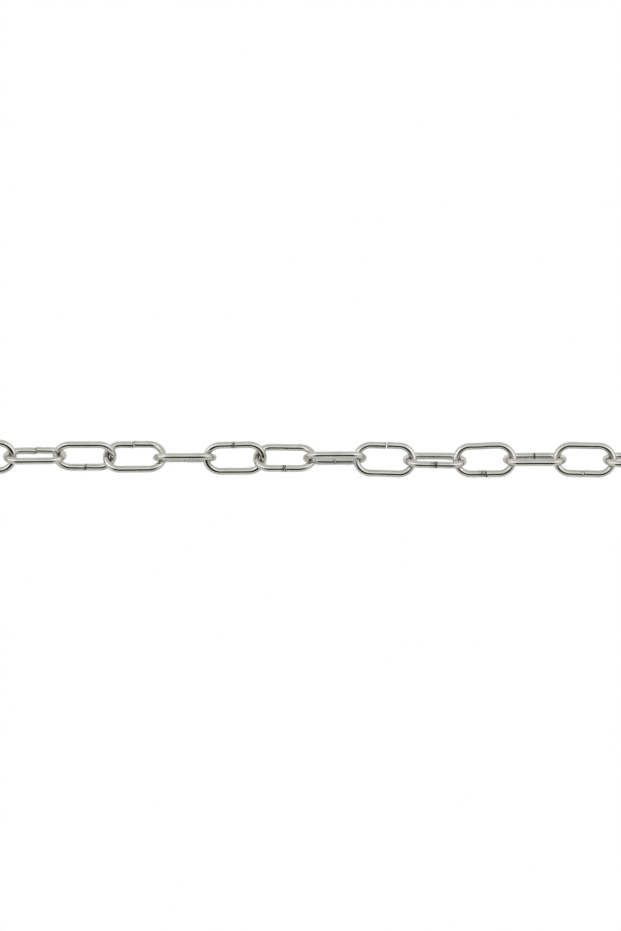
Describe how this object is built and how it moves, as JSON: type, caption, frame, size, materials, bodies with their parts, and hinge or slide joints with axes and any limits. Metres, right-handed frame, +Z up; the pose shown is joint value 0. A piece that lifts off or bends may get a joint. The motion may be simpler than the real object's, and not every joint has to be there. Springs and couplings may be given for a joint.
{
  "type": "steel chain",
  "caption": "Straight length of bright plated steel chain with oval, butt-jointed wire links that swing on one another.",
  "frame": {"origin": "middle of the chain's box, at the floor it lies on", "axes": "+X along the chain, +Y across it, +Z up"},
  "size_m": [0.516, 0.0158, 0.0149],
  "materials": {
    "plated_steel": "bright nickel plating on steel wire, lightly rubbed"
  },
  "bodies": {
    "link_01": {"link_01": "plated_steel"},
    "link_02": {"link_02": "plated_steel"},
    "link_03": {"link_03": "plated_steel"},
    "link_04": {"link_04": "plated_steel"},
    "link_05": {"link_05": "plated_steel"},
    "link_06": {"link_06": "plated_steel"},
    "link_07": {"link_07": "plated_steel"},
    "link_08": {"link_08": "plated_steel"},
    "link_09": {"link_09": "plated_steel"},
    "link_10": {"link_10": "plated_steel"},
    "link_11": {"link_11": "plated_steel"},
    "link_12": {"link_12": "plated_steel"},
    "link_13": {"link_13": "plated_steel"},
    "link_14": {"link_14": "plated_steel"},
    "link_15": {"link_15": "plated_steel"},
    "link_16": {"link_16": "plated_steel"},
    "link_17": {"link_17": "plated_steel"},
    "link_18": {"link_18": "plated_steel"},
    "link_19": {"link_19": "plated_steel"},
    "link_20": {"link_20": "plated_steel"},
    "link_21": {"link_21": "plated_steel"},
    "link_22": {"link_22": "plated_steel"},
    "link_23": {"link_23": "plated_steel"}
  },
  "joints": [
    {"name": "swing_01", "type": "hinge", "parent": "link_02", "child": "link_01", "pos_m": [-0.2343, 0.00026, 0.00513], "axis": [0, -0.809, -0.5878], "range_deg": [-120, 120]},
    {"name": "swing_02", "type": "hinge", "parent": "link_03", "child": "link_02", "pos_m": [-0.21215, 0.00026, 0.00513], "axis": [-0.0016, 0.809, -0.5878], "range_deg": [-120, 120]},
    {"name": "swing_03", "type": "hinge", "parent": "link_04", "child": "link_03", "pos_m": [-0.19, 0.0003, 0.00513], "axis": [-0.0071, 0.809, 0.5878], "range_deg": [-120, 120]},
    {"name": "swing_04", "type": "hinge", "parent": "link_05", "child": "link_04", "pos_m": [-0.16785, 0.00045, 0.00516], "axis": [-0.0084, -0.8091, 0.5876], "range_deg": [-120, 120]},
    {"name": "swing_05", "type": "hinge", "parent": "link_06", "child": "link_05", "pos_m": [-0.14569, 0.0006, 0.00566], "axis": [-0.0311, 0.7069, 0.7066], "range_deg": [-120, 120]},
    {"name": "swing_06", "type": "hinge", "parent": "link_07", "child": "link_06", "pos_m": [-0.12354, 0.00077, 0.00648], "axis": [0.0259, 0.8386, -0.5442], "range_deg": [-120, 120]},
    {"name": "swing_07", "type": "hinge", "parent": "link_08", "child": "link_07", "pos_m": [-0.1014, 0.00069, 0.00745], "axis": [-0.0077, -0.3089, -0.9511], "range_deg": [-120, 120]},
    {"name": "swing_08", "type": "hinge", "parent": "link_09", "child": "link_08", "pos_m": [-0.07925, 0.00027, 0.00743], "axis": [0.007, 0.9925, 0.1218], "range_deg": [-120, 120]},
    {"name": "swing_09", "type": "hinge", "parent": "link_10", "child": "link_09", "pos_m": [-0.0571, 0.00017, 0.00696], "axis": [0.0015, -0.515, 0.8572], "range_deg": [-120, 120]},
    {"name": "swing_10", "type": "hinge", "parent": "link_11", "child": "link_10", "pos_m": [-0.03495, 0.00006, 0.00687], "axis": [0.0106, 0.5592, 0.829], "range_deg": [-120, 120]},
    {"name": "swing_11", "type": "hinge", "parent": "link_12", "child": "link_11", "pos_m": [-0.01278, 0.00003, 0.00651], "axis": [0.0191, 0.9944, -0.1044], "range_deg": [-120, 120]},
    {"name": "swing_13", "type": "hinge", "parent": "link_12", "child": "link_13", "pos_m": [0.01278, -0.00031, 0.00789], "axis": [0.0191, 0.9944, -0.1044], "range_deg": [-120, 120]},
    {"name": "swing_14", "type": "hinge", "parent": "link_13", "child": "link_14", "pos_m": [0.03494, -0.00029, 0.0071], "axis": [-0.0272, 0.3746, -0.9268], "range_deg": [-120, 120]},
    {"name": "swing_15", "type": "hinge", "parent": "link_14", "child": "link_15", "pos_m": [0.05705, 0.00003, 0.00513], "axis": [-0.0373, -0.8197, -0.5715], "range_deg": [-120, 120]},
    {"name": "swing_16", "type": "hinge", "parent": "link_15", "child": "link_16", "pos_m": [0.07925, 0.00039, 0.00511], "axis": [-0.0168, 0.8089, -0.5878], "range_deg": [-120, 120]},
    {"name": "swing_17", "type": "hinge", "parent": "link_16", "child": "link_17", "pos_m": [0.1014, 0.00052, 0.00566], "axis": [-0.0185, 0.819, 0.5734], "range_deg": [-120, 120]},
    {"name": "swing_18", "type": "hinge", "parent": "link_17", "child": "link_18", "pos_m": [0.12355, 0.00062, 0.00557], "axis": [0.0049, -0.7547, 0.6561], "range_deg": [-120, 120]},
    {"name": "swing_19", "type": "hinge", "parent": "link_18", "child": "link_19", "pos_m": [0.1457, 0.00077, 0.00519], "axis": [0.0035, 0.8192, 0.5735], "range_deg": [-120, 120]},
    {"name": "swing_20", "type": "hinge", "parent": "link_19", "child": "link_20", "pos_m": [0.16785, 0.00038, 0.00533], "axis": [0.0153, 0.7985, -0.6018], "range_deg": [-120, 120]},
    {"name": "swing_21", "type": "hinge", "parent": "link_20", "child": "link_21", "pos_m": [0.19, 0.0003, 0.00513], "axis": [-0.0083, -0.809, -0.5878], "range_deg": [-120, 120]},
    {"name": "swing_22", "type": "hinge", "parent": "link_21", "child": "link_22", "pos_m": [0.21215, 0.00026, 0.00516], "axis": [0.0022, 0.809, -0.5878], "range_deg": [-120, 120]},
    {"name": "swing_23", "type": "hinge", "parent": "link_22", "child": "link_23", "pos_m": [0.2343, 0.00026, 0.00512], "axis": [0.0009, 0.809, 0.5878], "range_deg": [-120, 120]}
  ]
}
